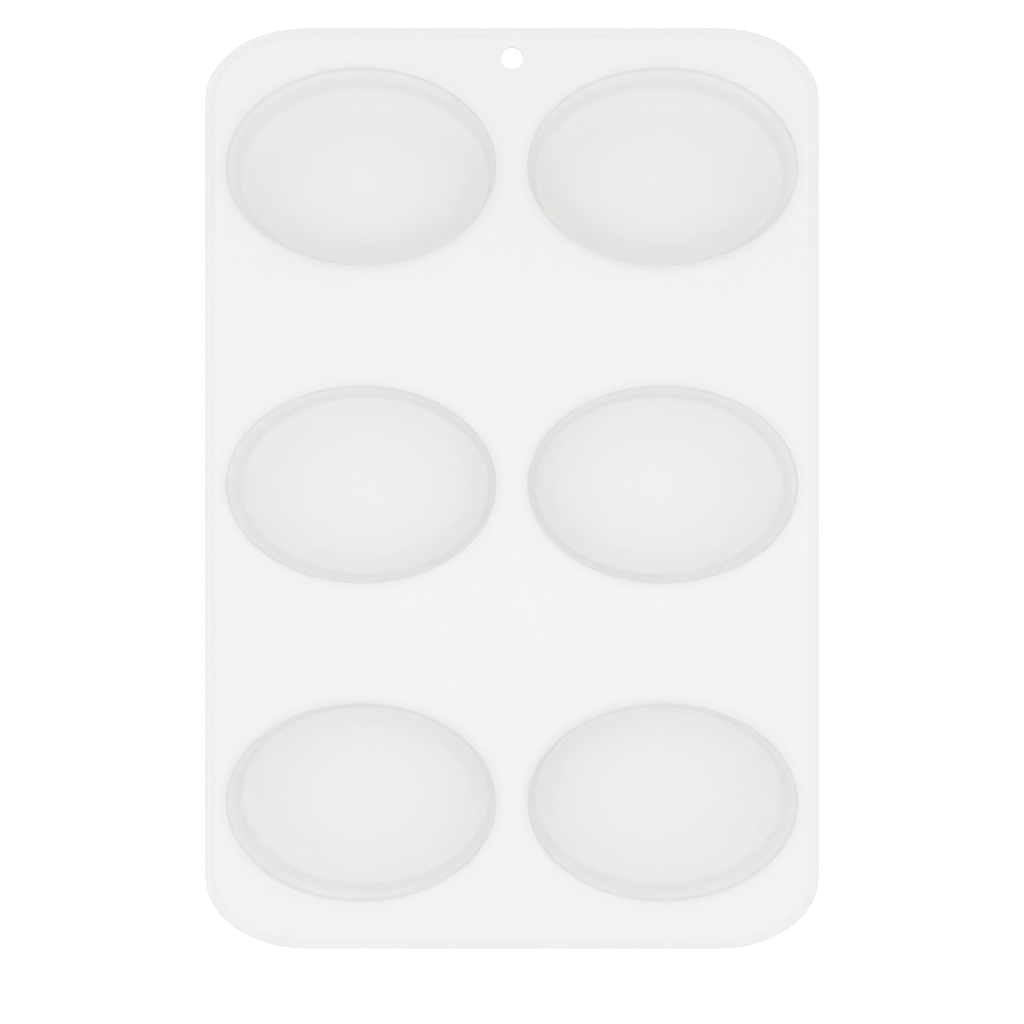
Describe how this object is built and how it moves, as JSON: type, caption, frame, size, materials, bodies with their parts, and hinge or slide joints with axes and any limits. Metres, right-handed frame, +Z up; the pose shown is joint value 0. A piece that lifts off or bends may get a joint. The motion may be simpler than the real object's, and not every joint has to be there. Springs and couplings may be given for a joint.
{
  "type": "silicone soap mould",
  "caption": "Soft white mould sheet with rows of oval cups for casting soap bars. Its webs bend between the rows, and each cup's floor pushes up to free a bar.",
  "frame": {"origin": "under the middle of the sheet, on the surface that the cups stand on", "axes": "+Z up out of the open side of the cups, +Y along the length towards the hanging hole, +X across the width"},
  "size_m": [0.172, 0.258, 0.026],
  "materials": {
    "silicone": "frosted translucent white silicone, soft satin sheen"
  },
  "bodies": {
    "middle_row": {"sheet_middle_row": "silicone", "edge_bead_middle_left": "silicone", "edge_bead_middle_right": "silicone", "cup_wall_middle_left": "silicone", "cup_wall_middle_right": "silicone"},
    "top_row": {"sheet_top_row": "silicone", "edge_bead_top": "silicone", "cup_wall_top_left": "silicone", "cup_wall_top_right": "silicone"},
    "bottom_row": {"sheet_bottom_row": "silicone", "edge_bead_bottom": "silicone", "cup_wall_bottom_left": "silicone", "cup_wall_bottom_right": "silicone"},
    "floor_top_left": {"cup_floor_top_left": "silicone"},
    "floor_top_right": {"cup_floor_top_right": "silicone"},
    "floor_middle_left": {"cup_floor_middle_left": "silicone"},
    "floor_middle_right": {"cup_floor_middle_right": "silicone"},
    "floor_bottom_left": {"cup_floor_bottom_left": "silicone"},
    "floor_bottom_right": {"cup_floor_bottom_right": "silicone"}
  },
  "joints": [
    {"name": "bend_upper_web", "type": "hinge", "parent": "middle_row", "child": "top_row", "pos_m": [0, 0.0456, 0.025], "axis": [1, 0, 0], "range_deg": [-75, 90], "stiffness_Nm_per_rad": 0.008},
    {"name": "bend_lower_web", "type": "hinge", "parent": "middle_row", "child": "bottom_row", "pos_m": [0, -0.0434, 0.025], "axis": [-1, 0, 0], "range_deg": [-75, 90], "stiffness_Nm_per_rad": 0.008},
    {"name": "push_out_top_left", "type": "slide", "parent": "top_row", "child": "floor_top_left", "axis": [0, 0, 1], "range_m": [0, 0.012], "stiffness_N_per_m": 1000},
    {"name": "push_out_top_right", "type": "slide", "parent": "top_row", "child": "floor_top_right", "axis": [0, 0, 1], "range_m": [0, 0.012], "stiffness_N_per_m": 1000},
    {"name": "push_out_middle_left", "type": "slide", "parent": "middle_row", "child": "floor_middle_left", "axis": [0, 0, 1], "range_m": [0, 0.012], "stiffness_N_per_m": 1000},
    {"name": "push_out_middle_right", "type": "slide", "parent": "middle_row", "child": "floor_middle_right", "axis": [0, 0, 1], "range_m": [0, 0.012], "stiffness_N_per_m": 1000},
    {"name": "push_out_bottom_left", "type": "slide", "parent": "bottom_row", "child": "floor_bottom_left", "axis": [0, 0, 1], "range_m": [0, 0.012], "stiffness_N_per_m": 1000},
    {"name": "push_out_bottom_right", "type": "slide", "parent": "bottom_row", "child": "floor_bottom_right", "axis": [0, 0, 1], "range_m": [0, 0.012], "stiffness_N_per_m": 1000}
  ]
}
